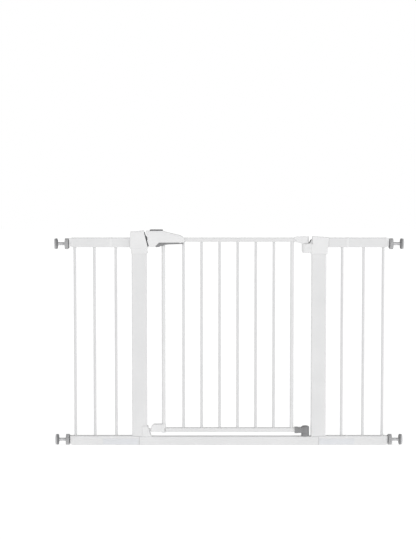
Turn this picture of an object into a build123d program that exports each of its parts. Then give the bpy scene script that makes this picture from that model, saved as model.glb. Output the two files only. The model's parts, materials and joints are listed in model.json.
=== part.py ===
from build123d import *
import os

# Pressure-fit safety gate with a walk-through door, one file per piece.
# Millimetres, +Z up, X along the doorway, -Y is the front.
# Origin: on the floor, under the middle of the gate.

# ---- Overall ----
WALL_X = 615.0            # wall face of each end disc, from the middle
RAIL_TOP = 737.0          # top of the wing rails
RAIL_H = 34.0             # wing rail height
RAIL_D = 20.0             # wing rail depth
TUBE_WALL = 1.5
CORNER = 3.0              # outside corner radius of the rails
FIT = 0.05                # radial clearance of a running fit
SNUG = 0.2                # gap round a plug or a cut-out
PAST = 1.0                # how far a cutter runs past the face that it opens

# ---- Doorway ----
SILL_HALF = 317.5         # half length of the sill rail
SILL_H = 32.0
SILL_D = 22.0
POST_TOP = RAIL_TOP - RAIL_H
POST_D = 25.0
POST_R = 4.0              # outside corner radius of the posts
LATCH_POST = (-343.0, -290.0)
HINGE_POST = (291.0, 343.0)

# ---- Wings, distances from the middle ----
INNER_END = 413.0         # inner extension meets its coupler
OUTER_START = 421.0       # coupler meets the outer extension
OUTER_END = 551.0         # outer extension meets its end plug
PLUG_END = 563.5
WING_BARS = (399.5, 475.0, 544.0)
BAR_R = 4.75
BAR_WALL = 0.9
RAIL_START_TOP = 305.0    # top rails run over the posts from here
PLUG_LENGTH = 24.0
PLUG_W = RAIL_D - 2 * TUBE_WALL - 2 * SNUG
PLUG_H = RAIL_H - 2 * TUBE_WALL - 2 * SNUG
SPIGOT_REACH = 28.0
SPIGOT_H = 28.4           # fits the sill, which is lower than the wing rails
SPIGOT_WALL = 2.0
COLLAR_WALL = 4.0
COUPLER_WALL = 2.6
LABEL_X = (320.0, 446.0)
LABEL_Z = (3.2, 24.0)
LABEL_THICK = 0.3

# ---- Wall spindles ----
TOP_SPINDLE_Z = 715.5
BOTTOM_SPINDLE_Z = 20.0
ROD_R = 6.0
ROD_INNER = 475.0
ROD_END = 608.0           # the rod ends inside the disc
DISC_R = 19.0
DISC_INNER = 605.0
HUB_R = 8.5
HUB_INNER = 602.5         # clears the nut when the spindle is screwed right in
FACING_INNER = 609.6
FACING_R = 18.6
NUT_R = 19.2
NUT_INNER = PLUG_END + 0.2
NUT_OUTER = 578.0
NUT_LOBES = 8
NUT_SCALLOP_R = 4.6
NUT_SCALLOP_OUT = 2.6     # scallop centres lie this far outside the nut's radius
NUT_EDGE = 1.2

# ---- Door ----
DOOR_RAIL = 15.0          # square section of both door rails
DOOR_TOP_Z = 722.0        # underside of the top rail
DOOR_BOTTOM_Z = 47.0      # underside of the bottom rail
LATCH_STILE_X = -231.4
HINGE_STILE_X = 222.6
STILE_R = 6.5
DOOR_BAR_X = -160.4
DOOR_BAR_PITCH = 63.8
DOOR_BAR_COUNT = 6
RAIL_HINGE_END = 250.0
DOOR_CORNER = 2.5
SHOE_R = 8.3
SHOE_TOP = 75.0
SHOE_END = -276.3         # rounded block of the shoe, towards the latch post
TONGUE_END = -283.0
TONGUE_HALF = 5.0
SHOE_SEAM_X = (-239.9, -238.7)   # groove between the shoe's block and its sleeve
SHOE_SEAM_Z = 64.0
SHOE_SEAM_DEEP = 0.8

# ---- Hinge line ----
HINGE_X = 271.3
TOP_PIN_R = 3.5
BOTTOM_PIN_R = 4.0
ARM_BOTTOM = 683.0
ARM_TOP = 715.0
KNUCKLE_BOTTOM = 715.6
KNUCKLE_TOP = 742.5
KNUCKLE_HALF = 10.0
BARREL_R = 14.0
SEAT_TOP = 42.0
BARREL_BOTTOM = 42.3
BARREL_TOP = 68.4
SOCKET_X = (234.0, 264.0)
SOCKET_HALF = 10.5
SPRING_ROOM = (47.0, 60.0)
ARM_R = 15.0
HINGE_CAP_HALF = 16.5
HINGE_CAP_BASE = 679.7

# ---- Latch ----
HANDLE_HALF = 17.0        # half depth of the handle and of the latch cap
SHELL = 2.2               # wall of the handle shells
CAVITY_HALF = HANDLE_HALF - SHELL
BOLT = (-301.0, -264.0, 729.0, 742.0)   # x of tip and back, z of bottom and top
BOLT_HALF = 6.0
TRIGGER_PIN = (-172.0, 720.3)
TRIGGER_PIN_R = 1.2
TRIGGER_HALF = 12.0
SCREW_R = 1.5
LIFT = 10.0               # how far the whole door lifts off its seat
CAP_BASE = 697.0
CAP_FACE_X = -284.8       # latch cap's slanted face at CAP_BASE
CAP_SLANT = 15.7 / 65.6   # how fast that face leans back with height
CAP_SKIRT_HALF = 14.8
CAP_SKIRT_BASE = 681.0
CAP_SCREW_Z = 690.0
CAP_SCREW_SPREAD = 14.0   # each side of the post's middle
SCREW_HEAD_R = 3.2
SCREW_HEAD_H = 1.6
KEEPER_Z = (706.0, 757.0)
KEEPER_HALF = 13.5
KEEPER_PROUD = (3.6, 1.6)   # how far the plate stands out of the cap's face, foot and top
KEEPER_DEEP = 3.3
FOOT_KEEPER_TOP = 68.0    # bottom keeper, at the latch post's foot
HANDLE_SCREWS = ((-205.0, 744.2), (-272.0, 715.5))
HANDLE_SCREW_HEAD_Y = (15.0, 16.8)
HANDLE_BOSS_R = 3.6
BOLT_RIB = (-242.0, -240.0)
SLIDER_RIB = (-230.0, -228.0)
SLIDER_FOOT = (-264.0, -250.0)
SLIDER_PAD = (-279.0, -233.0, 761.8, 765.5)
SLIDER_SPRING_Z = 754.0

# ---- Outlines seen from the front, as (x, z) ----
HANDLE_OUTLINE = [
    (-293.2, 761.5), (-233.0, 761.5), (-226.0, 759.0), (-172.0, 745.5), (-160.0, 739.0),
    (-156.0, 730.0), (-158.8, 719.5), (-168.6, 719.5), (-169.4, 717.6), (-174.6, 717.6),
    (-175.4, 719.5), (-246.0, 719.5), (-261.5, 704.5), (-281.6, 704.5),
]
HANDLE_HOLLOW = [
    (-290.6, 759.3), (-233.0, 759.3), (-226.6, 756.9), (-172.8, 743.4), (-161.8, 737.5),
    (-158.3, 729.6), (-160.6, 709.0), (-262.0, 700.0), (-263.5, 706.7), (-279.3, 706.7),
]
LATCH_CAP_OUTLINE = [(-349.0, CAP_BASE), (-348.8, 758.0), (-300.5, 762.6), (CAP_FACE_X, CAP_BASE)]
LATCH_CAP_HOLLOW = [
    (-346.3, CAP_BASE + 0.5), (-346.2, 755.6), (-302.4, 759.8), (-287.8, CAP_BASE + 0.5),
]
HINGE_CAP_OUTLINE = [
    (288.5, HINGE_CAP_BASE), (288.5, ARM_TOP), (293.8, ARM_TOP), (293.8, 742.0),
    (350.9, 738.8), (347.2, HINGE_CAP_BASE),
]
HINGE_RAMP_OUTLINE = [
    (283.2, ARM_TOP - 1), (296.0, ARM_TOP - 1), (296.0, RAIL_TOP), (283.2, ARM_TOP + 1),
]
CHEEK_OUTLINE = [
    (-288.0, SILL_H), (-288.0, FOOT_KEEPER_TOP), (-286.8, FOOT_KEEPER_TOP), (-278.5, 40.0),
    (-274.5, SILL_H),
]
KNUCKLE_OUTLINE = [
    (229.4, 738.4), (243.0, 741.6), (HINGE_X, KNUCKLE_TOP), (HINGE_X, KNUCKLE_BOTTOM),
    (255.0, KNUCKLE_BOTTOM), (237.0, 720.4), (229.4, 720.8),
]
TRIGGER_OUTLINE = [
    (-260.0, 706.5), (-255.5, 703.4), (-247.0, 704.4), (-238.0, 708.0), (-226.0, 711.6),
    (-212.0, 713.0), (-168.0, 714.2), (-161.6, 715.2), (-161.6, 722.4), (-168.0, 724.0),
    (-176.0, 724.0), (-181.0, 719.8), (-246.0, 719.8), (-251.0, 717.5),
]


# ---- Helpers ----
def block(x0, x1, y0, y1, z0, z1):
    middle = Pos((x0 + x1) / 2, (y0 + y1) / 2, (z0 + z1) / 2)
    return middle * Box(abs(x1 - x0), abs(y1 - y0), abs(z1 - z0))


def slab(x0, x1, half_depth, z0, z1):
    """A block that is centred on the gate's own plane."""
    return block(x0, x1, -half_depth, half_depth, z0, z1)


def upright(x, radius, z0, z1):
    return Pos(x, 0, (z0 + z1) / 2) * Cylinder(radius, z1 - z0)


def lengthwise(x0, x1, z, radius):
    return Pos((x0 + x1) / 2, 0, z) * Rot(0, 90, 0) * Cylinder(radius, abs(x1 - x0))


def crosswise(x, z, radius, y0, y1):
    return Pos(x, (y0 + y1) / 2, z) * Rot(90, 0, 0) * Cylinder(radius, abs(y1 - y0))


def side_outline(points):
    """A face in the gate's plane from (x, z) points."""
    return Plane.XZ * make_face(Polyline(*points, close=True))


def plate(points, y0, y1):
    """The outline given by (x, z) points, from depth y0 to depth y1."""
    face = Pos(0, y1, 0) * side_outline(points)
    return extrude(face, amount=y1 - y0)


def tube_section(depth, height, radius, wall):
    inside = RectangleRounded(depth - 2 * wall, height - 2 * wall, max(radius - wall, 0.6))
    return RectangleRounded(depth, height, radius) - inside


def rail(x0, x1, z0, height, depth, radius=CORNER, wall=TUBE_WALL):
    start = min(x0, x1)
    section = Plane.YZ.offset(start) * Pos(0, z0 + height / 2) * tube_section(
        depth, height, radius, wall
    )
    return extrude(section, amount=abs(x1 - x0))


def solid_rail(x0, x1, z0, height, depth, radius=CORNER):
    section = Plane.YZ.offset(min(x0, x1)) * Pos(0, z0 + height / 2)
    return extrude(section * RectangleRounded(depth, height, radius), amount=abs(x1 - x0))


def bar(x, z0, z1, radius=BAR_R):
    return upright(x, radius, z0, z1) - upright(x, radius - BAR_WALL, z0, z1)


def coil(radius, wire, length, turns):
    """A compression spring on Z, from 0 to length."""
    path = Helix((length - 2 * wire) / turns, length - 2 * wire, radius)
    start = Plane(origin=path @ 0, z_dir=path % 0)
    return Pos(0, 0, wire) * sweep(start * Circle(wire), path=path, is_frenet=True)


def group(pieces):
    return Compound(children=list(pieces))


def both_ways(points, side):
    """Mirror (x, z) points to the left for side -1."""
    return [(side * x, z) for x, z in points]


# ---- Fixed frame ----
def sill_rail():
    tube = rail(-SILL_HALF, SILL_HALF, 0, SILL_H, SILL_D)
    return tube - upright(HINGE_X, BOTTOM_PIN_R + FIT, SILL_H - 2 * TUBE_WALL, SILL_H + PAST)


def post(span):
    left, right = span
    section = Pos((left + right) / 2, 0, SILL_H) * tube_section(
        right - left, POST_D, POST_R, TUBE_WALL
    )
    tube = extrude(section, amount=POST_TOP - SILL_H)
    outer = -SILL_HALF if left < 0 else SILL_HALF
    far = left - PAST if left < 0 else right + PAST
    foot_notch = slab(outer, far, POST_D, SILL_H - PAST, RAIL_H)
    return tube - foot_notch - screw_holes(span)


def screw_places(span):
    """The two cap screws behind each post, near its top."""
    middle = (span[0] + span[1]) / 2
    return [middle - CAP_SCREW_SPREAD, middle + CAP_SCREW_SPREAD]


def screw_holes(span):
    holes = [crosswise(x, CAP_SCREW_Z, SCREW_R, 0, POST_D) for x in screw_places(span)]
    return group(holes)


def inner_rail(side, top):
    start = RAIL_START_TOP if top else SILL_HALF
    base = POST_TOP if top else 0
    return rail(side * start, side * INNER_END, base, RAIL_H, RAIL_D)


def outer_rail(side, top):
    base = POST_TOP if top else 0
    return rail(side * OUTER_START, side * OUTER_END, base, RAIL_H, RAIL_D)


def wing_bars(side):
    return group(bar(side * x, RAIL_H, POST_TOP) for x in WING_BARS)


def coupler(side, base):
    """A collar between two wing rails, with a plug that reaches into both."""
    collar = rail(side * INNER_END, side * OUTER_START, base, RAIL_H, RAIL_D, wall=COLLAR_WALL)
    start = min(side * (INNER_END - SPIGOT_REACH), side * (OUTER_START + SPIGOT_REACH))
    length = OUTER_START - INNER_END + 2 * SPIGOT_REACH
    outline = tube_section(PLUG_W, PLUG_H, CORNER - TUBE_WALL, COUPLER_WALL)
    plug = Plane.YZ.offset(start) * Pos(0, base + RAIL_H / 2) * outline
    return collar + extrude(plug, amount=length)


def rail_couplers():
    return group(coupler(s, base) for s in (-1, 1) for base in (0, POST_TOP))


def sill_spigot(side):
    """Joins the sill to the wing's bottom rail, which is a little taller and thinner."""
    section = Plane.YZ.offset(side * SILL_HALF - SPIGOT_REACH) * Pos(0, SILL_H / 2)
    outline = section * tube_section(PLUG_W, SPIGOT_H, CORNER - TUBE_WALL, SPIGOT_WALL)
    return extrude(outline, amount=2 * SPIGOT_REACH)


def end_plug(side, base, spindle_z):
    """Tapered nose outside the rail, plug inside it, and a hole that guides the spindle."""
    z0 = base
    z1 = base + RAIL_H
    nose = [(OUTER_END, z1), (OUTER_END, z0), (OUTER_END + 4, z0 + 0.6),
            (PLUG_END, z0 + 5), (PLUG_END, z1 - 1.2)]
    nose_solid = plate(both_ways(nose, side), -RAIL_D / 2, RAIL_D / 2)
    nose_solid &= solid_rail(side * OUTER_END, side * PLUG_END, base, RAIL_H, RAIL_D)
    plug = solid_rail(side * (OUTER_END - PLUG_LENGTH), side * OUTER_END,
                      base + (RAIL_H - PLUG_H) / 2, PLUG_H, PLUG_W, CORNER - TUBE_WALL)
    start = OUTER_END - PLUG_LENGTH - PAST
    hole = lengthwise(side * start, side * (PLUG_END + PAST), spindle_z, ROD_R + 2 * FIT)
    return nose_solid + plug - hole


def rail_end_plugs():
    rows = ((0, BOTTOM_SPINDLE_Z), (POST_TOP, TOP_SPINDLE_Z))
    return group(end_plug(s, base, z) for s in (-1, 1) for base, z in rows)


def cap_face(z):
    return CAP_FACE_X - (z - CAP_BASE) * CAP_SLANT


def keeper_outline(gap):
    """The keeper plate's side, grown by gap where it is a cut-out for the plate."""
    low = KEEPER_Z[0] - gap
    high = KEEPER_Z[1] + gap
    deep = KEEPER_DEEP + gap
    foot, top = KEEPER_PROUD
    return [(cap_face(low) + foot, low), (cap_face(low) - deep, low),
            (cap_face(high) - deep, high), (cap_face(high) + top, high)]


def latch_cap():
    """Covers the post's top; its inner face leans back, so that the door can lift past it."""
    upper = plate(LATCH_CAP_OUTLINE, -HANDLE_HALF, HANDLE_HALF)
    upper = fillet(upper.edges().filter_by(GeomType.LINE).filter_by(Axis.Y), 2.5)
    upper = fillet(upper.faces().sort_by(Axis.Y)[0].edges(), 2.4)
    upper = fillet(upper.faces().sort_by(Axis.Y)[-1].edges(), 2.4)
    left, right = LATCH_POST
    skirt = slab(left - 2, right + 2, CAP_SKIRT_HALF, CAP_SKIRT_BASE, CAP_BASE + 2)
    skirt = fillet(skirt.edges().filter_by(Axis.Z), 4.5)
    nib = slab(right + 1.5, right + 3.6, 5, CAP_SKIRT_BASE + 1, CAP_SKIRT_BASE + 10)
    inner_half = HANDLE_HALF - 2.7
    hollow = plate(LATCH_CAP_HOLLOW, -inner_half, inner_half)
    post_room = slab(left - SNUG, right + SNUG, POST_D / 2 + SNUG, CAP_SKIRT_BASE - PAST, CAP_BASE + 1)
    rail_room = slab(-360, left + 3, RAIL_D / 2 + SNUG / 2, POST_TOP - SNUG, RAIL_TOP + SNUG)
    keeper_room = plate(keeper_outline(FIT), -KEEPER_HALF - 0.1, KEEPER_HALF + 0.1)
    body = upper + skirt + nib
    return body - hollow - post_room - rail_room - keeper_room - screw_holes(LATCH_POST)


def keeper_plate():
    """Lines the cap's slanted face; its slot is tall enough for the bolt to lift with the door."""
    slot_top = BOLT[3] + LIFT + 1.5
    slot = slab(BOLT[0] - 14, BOLT[1] - 11, BOLT_HALF + 0.4, BOLT[2] - 1.5, slot_top)
    return plate(keeper_outline(0.0), -KEEPER_HALF, KEEPER_HALF) - slot


def hinge_cap():
    """Covers the hinge post's top and reaches out to the hinge line with a round arm."""
    left, right = HINGE_POST
    body = plate(HINGE_CAP_OUTLINE, -HINGE_CAP_HALF, HINGE_CAP_HALF)
    body = fillet(body.faces().sort_by(Axis.Y)[0].edges(), 2.2)
    body = fillet(body.faces().sort_by(Axis.Y)[-1].edges(), 2.2)
    arm = upright(HINGE_X, ARM_R, ARM_BOTTOM, ARM_TOP)
    arm += slab(HINGE_X, left + 5, ARM_R, ARM_BOTTOM, ARM_TOP)
    arm = fillet(arm.faces().sort_by(Axis.Z)[0].edges().filter_by(GeomType.CIRCLE), 6)
    ramp = plate(HINGE_RAMP_OUTLINE, -8, 8)
    hollow = slab(left + 6, right + 3, HINGE_CAP_HALF - 2.5, POST_TOP, RAIL_TOP - 1)
    post_room = slab(left - SNUG, right + SNUG, POST_D / 2 + SNUG, HINGE_CAP_BASE - PAST,
                     POST_TOP + SNUG)
    rail_room = slab(left + 11, right + 17, RAIL_D / 2 + SNUG / 2, POST_TOP - SNUG, RAIL_TOP + SNUG)
    pin_bore = upright(HINGE_X, TOP_PIN_R + FIT, ARM_BOTTOM - PAST, ARM_TOP + PAST)
    whole = body + arm + ramp
    return whole - hollow - post_room - rail_room - pin_bore - screw_holes(HINGE_POST)


def cap_screw(x, face_y):
    shank = crosswise(x, CAP_SCREW_Z, SCREW_R, 8, face_y)
    head = crosswise(x, CAP_SCREW_Z, SCREW_HEAD_R, face_y, face_y + SCREW_HEAD_H)
    return shank + fillet(head.edges().sort_by(Axis.Y)[-1], 0.7)


def cap_screws():
    latch = [cap_screw(x, CAP_SKIRT_HALF) for x in screw_places(LATCH_POST)]
    hinge = [cap_screw(x, HINGE_CAP_HALF) for x in screw_places(HINGE_POST)]
    return group(latch + hinge)


def bottom_keeper():
    """Wraps the latch post's foot; two cheeks with sloped tops hold the shoe's tongue."""
    face = LATCH_POST[1]
    over = FOOT_KEEPER_TOP + PAST
    wrap = slab(face - 17, face + 2.5, POST_D / 2 + 2, SILL_H, FOOT_KEEPER_TOP)
    wrap = fillet(wrap.edges().filter_by(Axis.Z), 2.0)
    cheeks = plate(CHEEK_OUTLINE, -12, 12)
    post_room = slab(face - 20, face + SNUG / 2, POST_D / 2 + SNUG / 2, SILL_H - PAST, over)
    pocket = slab(face + 4.5, face + 20, TONGUE_HALF + 0.6, SILL_H + 4, over)
    return wrap + cheeks - pocket - post_room


def hinge_cam_seat():
    seat = upright(HINGE_X, BARREL_R, SILL_H, SEAT_TOP)
    seat = fillet(seat.edges().sort_by(Axis.Z)[0], 0.8)
    return seat - upright(HINGE_X, BOTTOM_PIN_R + FIT, SILL_H - PAST, SEAT_TOP + PAST)


def blank_label(side):
    near, far = LABEL_X
    face_y = -RAIL_D / 2
    return block(side * near, side * far, face_y - LABEL_THICK, face_y, *LABEL_Z)


# ---- Wall spindles ----
def spindle_rod(side, z):
    rod = lengthwise(side * ROD_INNER, side * ROD_END, z, ROD_R)
    return chamfer(rod.edges().filter_by(GeomType.CIRCLE), 0.8)


def spindle_disc(side, z):
    disc = lengthwise(side * DISC_INNER, side * FACING_INNER, z, DISC_R)
    disc = fillet(disc.edges().filter_by(GeomType.CIRCLE), 2.0)
    hub = lengthwise(side * HUB_INNER, side * (DISC_INNER + 2), z, HUB_R)
    socket = lengthwise(side * (HUB_INNER - PAST), side * ROD_END, z, ROD_R)
    return disc + hub - socket


def spindle_facing(side, z):
    facing = lengthwise(side * FACING_INNER, side * WALL_X, z, FACING_R)
    outer = facing.faces().sort_by(Axis.X)[-1 if side > 0 else 0]
    return fillet(outer.edges(), 1.0)


def spindle_nut(side, z):
    """A hand nut with scalloped edges."""
    outline = Circle(NUT_R)
    grips = PolarLocations(NUT_R + NUT_SCALLOP_OUT, NUT_LOBES, start_angle=180 / NUT_LOBES)
    outline -= grips * Circle(NUT_SCALLOP_R)
    start = min(side * NUT_INNER, side * NUT_OUTER)
    body = extrude(Plane.YZ.offset(start) * Pos(0, z) * outline, amount=NUT_OUTER - NUT_INNER)
    ends = body.faces().filter_by(Axis.X)
    body = chamfer(ends.edges(), NUT_EDGE)
    return body - lengthwise(side * (NUT_INNER - PAST), side * (NUT_OUTER + PAST), z, ROD_R + FIT)


# ---- Door ----
def door_top_rail():
    start = LATCH_STILE_X - STILE_R
    return rail(start, RAIL_HINGE_END, DOOR_TOP_Z, DOOR_RAIL, DOOR_RAIL, DOOR_CORNER)


def door_bottom_rail():
    """Its end is cut round, to sit against the latch stile."""
    start = LATCH_STILE_X + STILE_R - 0.6
    tube = rail(start, RAIL_HINGE_END, DOOR_BOTTOM_Z, DOOR_RAIL, DOOR_RAIL, DOOR_CORNER)
    over = DOOR_BOTTOM_Z + DOOR_RAIL + PAST
    return tube - upright(LATCH_STILE_X, STILE_R, DOOR_BOTTOM_Z - PAST, over)


def stile(x, z0):
    return bar(x, z0, DOOR_TOP_Z, STILE_R)


def door_bars():
    places = [DOOR_BAR_X + i * DOOR_BAR_PITCH for i in range(DOOR_BAR_COUNT)]
    return group(bar(x, DOOR_BOTTOM_Z + DOOR_RAIL, DOOR_TOP_Z) for x in places)


def handle_shell(front):
    """One half of the handle: front from y -17 to 0, or back from 0 to 17."""
    sign = -1 if front else 1
    skin = plate(HANDLE_OUTLINE, *sorted((0, sign * HANDLE_HALF)))
    face = skin.faces().sort_by(Axis.Y)[0 if front else -1]
    skin = fillet(face.edges(), 2.6)
    shell = skin - plate(HANDLE_HOLLOW, *sorted((0, sign * CAVITY_HALF)))
    wall_y = sign * (CAVITY_HALF + 0.5)
    tip_guide = block(-281, -266, sign * (BOLT_HALF + 0.4), wall_y, BOLT[2] - 2, BOLT[3] + 2)
    bolt_rib = block(*BOLT_RIB, 0, wall_y, 730, 744)
    slider_rib = block(*SLIDER_RIB, 0, wall_y, 749, 758)
    shell += tip_guide + bolt_rib + slider_rib
    head_y, _ = HANDLE_SCREW_HEAD_Y
    for x, z in HANDLE_SCREWS:
        shell += crosswise(x, z, HANDLE_BOSS_R, 0, wall_y)
        if front:
            shell -= crosswise(x, z, SCREW_R, -CAVITY_HALF + 2.3, 0)
        else:
            shell -= crosswise(x, z, SCREW_R, 0, HANDLE_HALF + PAST)
            shell -= crosswise(x, z, SCREW_HEAD_R - 0.1, head_y, HANDLE_HALF + PAST)
    return shell - handle_cut_outs()


def handle_cut_outs():
    """Room for the bolt, the slider's stem, the door's top rail and its first bar."""
    bolt = slab(-300, -276, BOLT_HALF + 0.3, BOLT[2] - 0.3, BOLT[3] + 0.3)
    stem = slab(-262.3, -243.7, 4.3, 757, 765)
    rail_top = DOOR_TOP_Z + DOOR_RAIL + FIT
    top_rail = slab(-175, -150, DOOR_RAIL / 2 + FIT, DOOR_TOP_Z - FIT, rail_top)
    first_bar = slab(-168, -150, BAR_R + FIT, 710, DOOR_TOP_Z + FIT)
    return group([bolt, stem, top_rail, first_bar])


def handle_screws():
    screws = []
    for x, z in HANDLE_SCREWS:
        shank = crosswise(x, z, SCREW_R, -CAVITY_HALF + 2.8, HANDLE_SCREW_HEAD_Y[0])
        head = crosswise(x, z, SCREW_HEAD_R - 0.2, *HANDLE_SCREW_HEAD_Y)
        screws.append(shank + head)
    return group(screws)


def door_shoe():
    """Sleeve round the foot of the latch stile, a rounded block and a tongue."""
    sleeve = upright(LATCH_STILE_X, SHOE_R, DOOR_BOTTOM_Z - 3, SHOE_TOP)
    sleeve = fillet(sleeve.edges().sort_by(Axis.Z)[0], 3.5)
    toe = slab(SHOE_END, LATCH_STILE_X, SHOE_R, DOOR_BOTTOM_Z + 0.5, SHOE_TOP)
    top_left = toe.edges().filter_by(Axis.Y).sort_by(Axis.X)[:2].sort_by(Axis.Z)[-1]
    toe = fillet(top_left, 15)
    toe = chamfer(toe.faces().sort_by(Axis.Y)[0].edges(), 1.0)
    toe = chamfer(toe.faces().sort_by(Axis.Y)[-1].edges(), 1.0)
    tongue = slab(TONGUE_END, SHOE_END + 1.3, TONGUE_HALF, 48.5, 58)
    shoe = sleeve + toe + tongue
    rail_room = slab(LATCH_STILE_X, LATCH_STILE_X + 16, DOOR_RAIL / 2, DOOR_BOTTOM_Z,
                     DOOR_BOTTOM_Z + DOOR_RAIL)
    for face_y in (-SHOE_R, SHOE_R):
        shoe -= block(*SHOE_SEAM_X, face_y - SHOE_SEAM_DEEP, face_y + SHOE_SEAM_DEEP,
                      SHOE_SEAM_Z, SHOE_TOP + PAST)
    return shoe - upright(LATCH_STILE_X, STILE_R, DOOR_BOTTOM_Z, SHOE_TOP + PAST) - rail_room


def hinge_knuckle():
    """Sleeve on the end of the top rail, with a boss that turns on the top pin."""
    sleeve = plate(KNUCKLE_OUTLINE, -KNUCKLE_HALF, KNUCKLE_HALF)
    boss = upright(HINGE_X, KNUCKLE_HALF, KNUCKLE_BOTTOM, KNUCKLE_TOP)
    body = sleeve + boss
    rail_end = slab(220, RAIL_HINGE_END, DOOR_RAIL / 2 + FIT, DOOR_TOP_Z - FIT,
                    DOOR_TOP_Z + DOOR_RAIL + FIT)
    return body - rail_end - upright(HINGE_X, TOP_PIN_R + FIT, KNUCKLE_BOTTOM - PAST, 736.5)


def hinge_barrel():
    """Sleeve on the end of the bottom rail, with a barrel that houses the closing spring."""
    barrel = upright(HINGE_X, BARREL_R, BARREL_BOTTOM, BARREL_TOP)
    barrel = fillet(barrel.edges().sort_by(Axis.Z)[-1], 5.0)
    socket = slab(*SOCKET_X, SOCKET_HALF, 44, 63.4)
    socket = fillet(socket.edges().filter_by(Axis.X), 3.0)
    room = upright(HINGE_X, 10.5, *SPRING_ROOM)
    bore = upright(HINGE_X, BOTTOM_PIN_R + FIT, BARREL_BOTTOM - PAST, 64)
    rail_end = slab(230, RAIL_HINGE_END, DOOR_RAIL / 2 + FIT, DOOR_BOTTOM_Z - FIT,
                    DOOR_BOTTOM_Z + DOOR_RAIL + FIT)
    return barrel + socket - room - bore - rail_end


def top_hinge_pin():
    return upright(HINGE_X, TOP_PIN_R, 690, 736)


def bottom_hinge_pin():
    return upright(HINGE_X, BOTTOM_PIN_R, 14, 63.5)


def closing_spring():
    low, high = SPRING_ROOM
    return Pos(HINGE_X, 0, low + 0.3) * coil(7.6, 0.9, high - low - 0.6, 4)


# ---- Latch ----
def trigger_pin():
    return crosswise(*TRIGGER_PIN, TRIGGER_PIN_R, -CAVITY_HALF, CAVITY_HALF)


def trigger_lever():
    """Plate under the top rail with a finger nub, flanges beside the rail and a pin at one end."""
    lever = plate(TRIGGER_OUTLINE, -TRIGGER_HALF, TRIGGER_HALF)
    channel = slab(-245, -150, 8.6, 717.0, 730)
    stile_room = slab(LATCH_STILE_X - 8.2, LATCH_STILE_X + 8.2, 8.0, 700, 730)
    pin_bore = crosswise(*TRIGGER_PIN, TRIGGER_PIN_R + FIT, -20, 20)
    bar_room = slab(-167.5, -150, 8.6, 710, 730)
    return lever - channel - stile_room - pin_bore - bar_room


def latch_bolt():
    tip, back, bottom, top = BOLT
    bolt = slab(tip, back, BOLT_HALF, bottom, top)
    return chamfer(bolt.faces().sort_by(Axis.X)[0].edges().filter_by(Axis.Z), 3.0)


def bolt_spring():
    middle_z = (BOLT[2] + BOLT[3]) / 2
    length = BOLT_RIB[0] - BOLT[1]
    return Pos(BOLT[1], 0, middle_z) * Rot(0, 90, 0) * coil(3.4, 0.5, length, 6)


def thumb_slider():
    x0, x1, z0, z1 = SLIDER_PAD
    pad = slab(x0, x1, 9, z0, z1)
    pad = fillet(pad.faces().sort_by(Axis.Z)[-1].edges(), 1.6)
    stem = slab(-262, -252, 4, 758, 762.5)
    foot = slab(*SLIDER_FOOT, 6.5, 750, 758.9)
    return pad + stem + foot


def slider_spring():
    length = SLIDER_RIB[0] - SLIDER_FOOT[1]
    start = Pos(SLIDER_FOOT[1], 0, SLIDER_SPRING_Z)
    return start * Rot(0, 90, 0) * coil(2.2, 0.4, length, 6)


# ---- Write every piece ----
PIECES = {
    "sill_rail": sill_rail(),
    "latch_post": post(LATCH_POST),
    "hinge_post": post(HINGE_POST),
    "rail_couplers": rail_couplers(),
    "rail_end_plugs": rail_end_plugs(),
    "sill_spigots": group(sill_spigot(s) for s in (-1, 1)),
    "latch_cap": latch_cap(),
    "keeper_plate": keeper_plate(),
    "hinge_cap": hinge_cap(),
    "cap_screws": cap_screws(),
    "bottom_keeper": bottom_keeper(),
    "hinge_cam_seat": hinge_cam_seat(),
    "blank_labels": group(blank_label(s) for s in (-1, 1)),
    "door_top_rail": door_top_rail(),
    "door_bottom_rail": door_bottom_rail(),
    "door_latch_stile": stile(LATCH_STILE_X, DOOR_BOTTOM_Z),
    "door_hinge_stile": stile(HINGE_STILE_X, DOOR_BOTTOM_Z + DOOR_RAIL),
    "door_bars": door_bars(),
    "handle_front_shell": handle_shell(True),
    "handle_back_shell": handle_shell(False),
    "handle_screws": handle_screws(),
    "door_shoe": door_shoe(),
    "hinge_knuckle": hinge_knuckle(),
    "hinge_barrel": hinge_barrel(),
    "top_hinge_pin": top_hinge_pin(),
    "bottom_hinge_pin": bottom_hinge_pin(),
    "closing_spring": closing_spring(),
    "trigger_pin": trigger_pin(),
    "trigger_lever": trigger_lever(),
    "latch_bolt": latch_bolt(),
    "bolt_spring": bolt_spring(),
    "thumb_slider": thumb_slider(),
    "slider_spring": slider_spring(),
}
for side_name, side in (("left", -1), ("right", 1)):
    PIECES[f"{side_name}_wing_bars"] = wing_bars(side)
    for level, is_top, spindle_z in (("top", True, TOP_SPINDLE_Z), ("bottom", False, BOTTOM_SPINDLE_Z)):
        PIECES[f"{side_name}_inner_{level}_rail"] = inner_rail(side, is_top)
        PIECES[f"{side_name}_outer_{level}_rail"] = outer_rail(side, is_top)
        PIECES[f"{side_name}_{level}_rod"] = spindle_rod(side, spindle_z)
        PIECES[f"{side_name}_{level}_disc"] = spindle_disc(side, spindle_z)
        PIECES[f"{side_name}_{level}_facing"] = spindle_facing(side, spindle_z)
        PIECES[f"{side_name}_{level}_nut"] = spindle_nut(side, spindle_z)

os.makedirs("parts", exist_ok=True)
for name, shape in PIECES.items():
    export_step(shape, f"parts/{name}.step")
    print(name, round(shape.volume))
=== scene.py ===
import json
import math

import bpy
import bmesh
from mathutils import Matrix, Vector


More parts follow.
